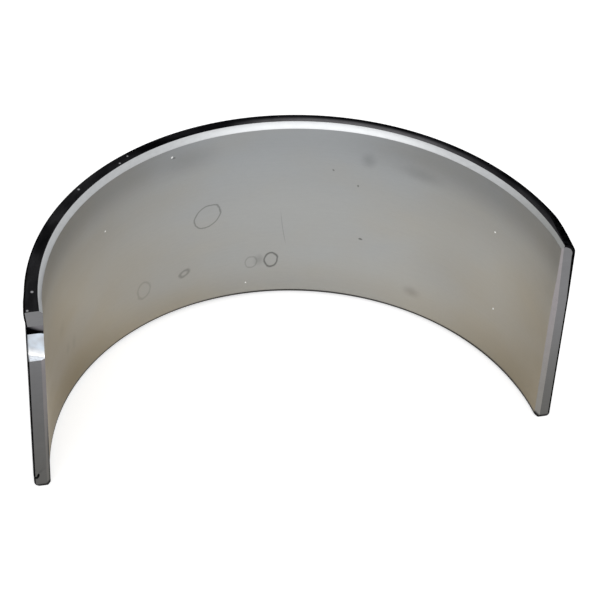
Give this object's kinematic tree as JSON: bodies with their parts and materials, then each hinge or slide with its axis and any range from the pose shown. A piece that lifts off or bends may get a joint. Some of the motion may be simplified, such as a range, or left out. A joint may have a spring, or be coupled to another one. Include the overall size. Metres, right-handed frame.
{
  "type": "engine bearing shell",
  "caption": "Half-round plain bearing shell of lined steel strip, with a chamfered bore, flat joint faces, and a locating lug and notch at one joint.",
  "frame": {"origin": "middle of the outline's box on the bottom end face: level with the end face, on the shell's middle plane, halfway between the joint faces and the crown", "axes": "+Z along the bearing's axis, from the end it stands on to the end with the lug; +Y from the joint faces to the crown of the back; +X from the joint with the lug to the plain joint"},
  "size_m": [0.0963, 0.0464, 0.0414],
  "materials": {
    "shell_metal": "satin bearing metal in the bore, ground steel on the back and ends"
  },
  "bodies": {
    "root": {"bearing_shell": "shell_metal"}
  },
  "joints": []
}
